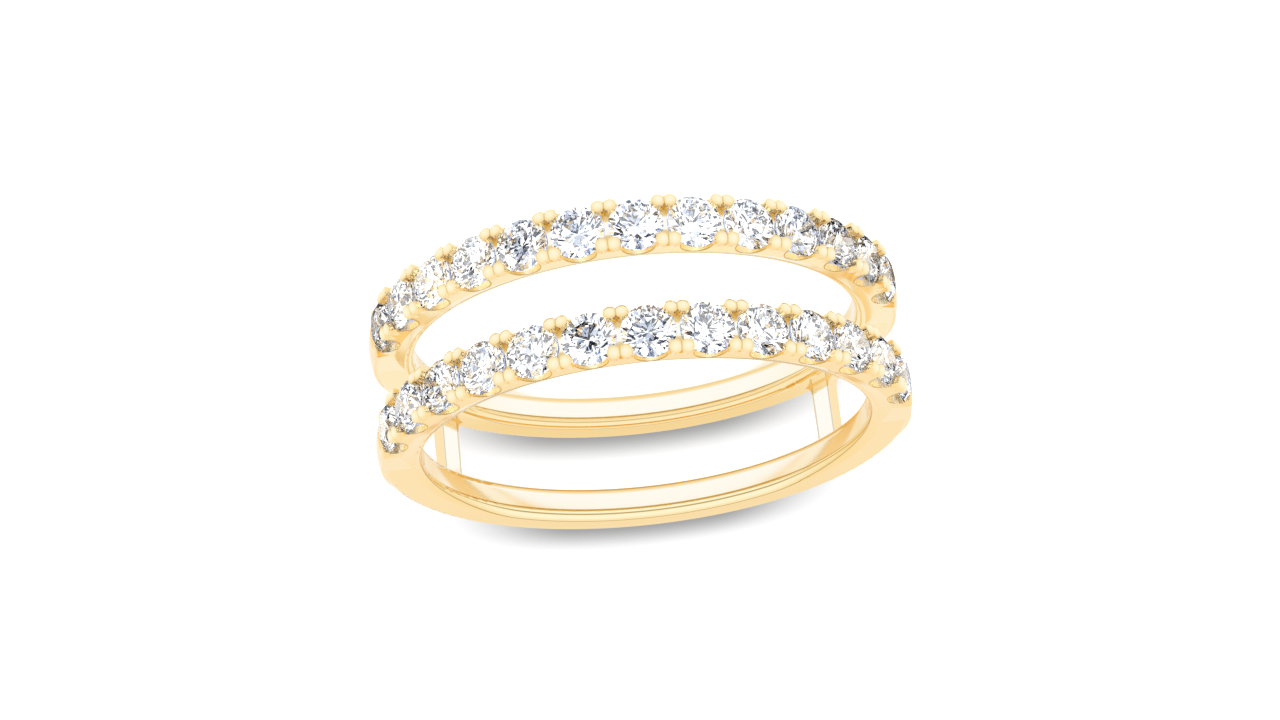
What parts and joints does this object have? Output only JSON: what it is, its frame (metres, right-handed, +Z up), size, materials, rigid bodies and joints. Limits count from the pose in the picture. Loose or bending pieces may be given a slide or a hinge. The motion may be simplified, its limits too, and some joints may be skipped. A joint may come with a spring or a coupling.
{
  "type": "ring guard enhancer",
  "caption": "Pale yellow gold ring guard: two shared-prong bands of round brilliant stones, side by side and joined by low bridge bars",
  "frame": {"origin": "centre of the box round the whole ring, on the floor it lies on", "axes": "+Z up along the finger axis, as the ring lies on its side; -Y towards the middle of the stone rows, so the plain shanks and the bridge bars are towards +Y"},
  "size_m": [0.0208, 0.0208, 0.0061],
  "materials": {
    "gold": "polished pale yellow gold",
    "stones": "clear faceted stone"
  },
  "bodies": {
    "root": {"ring_frame": "gold", "stone_upper_01": "stones", "stone_upper_02": "stones", "stone_upper_03": "stones", "stone_upper_04": "stones", "stone_upper_05": "stones", "stone_upper_06": "stones", "stone_upper_07": "stones", "stone_upper_08": "stones", "stone_upper_09": "stones", "stone_upper_10": "stones", "stone_upper_11": "stones", "stone_upper_12": "stones", "stone_upper_13": "stones", "stone_lower_01": "stones", "stone_lower_02": "stones", "stone_lower_03": "stones", "stone_lower_04": "stones", "stone_lower_05": "stones", "stone_lower_06": "stones", "stone_lower_07": "stones", "stone_lower_08": "stones", "stone_lower_09": "stones", "stone_lower_10": "stones", "stone_lower_11": "stones", "stone_lower_12": "stones", "stone_lower_13": "stones"}
  },
  "joints": []
}
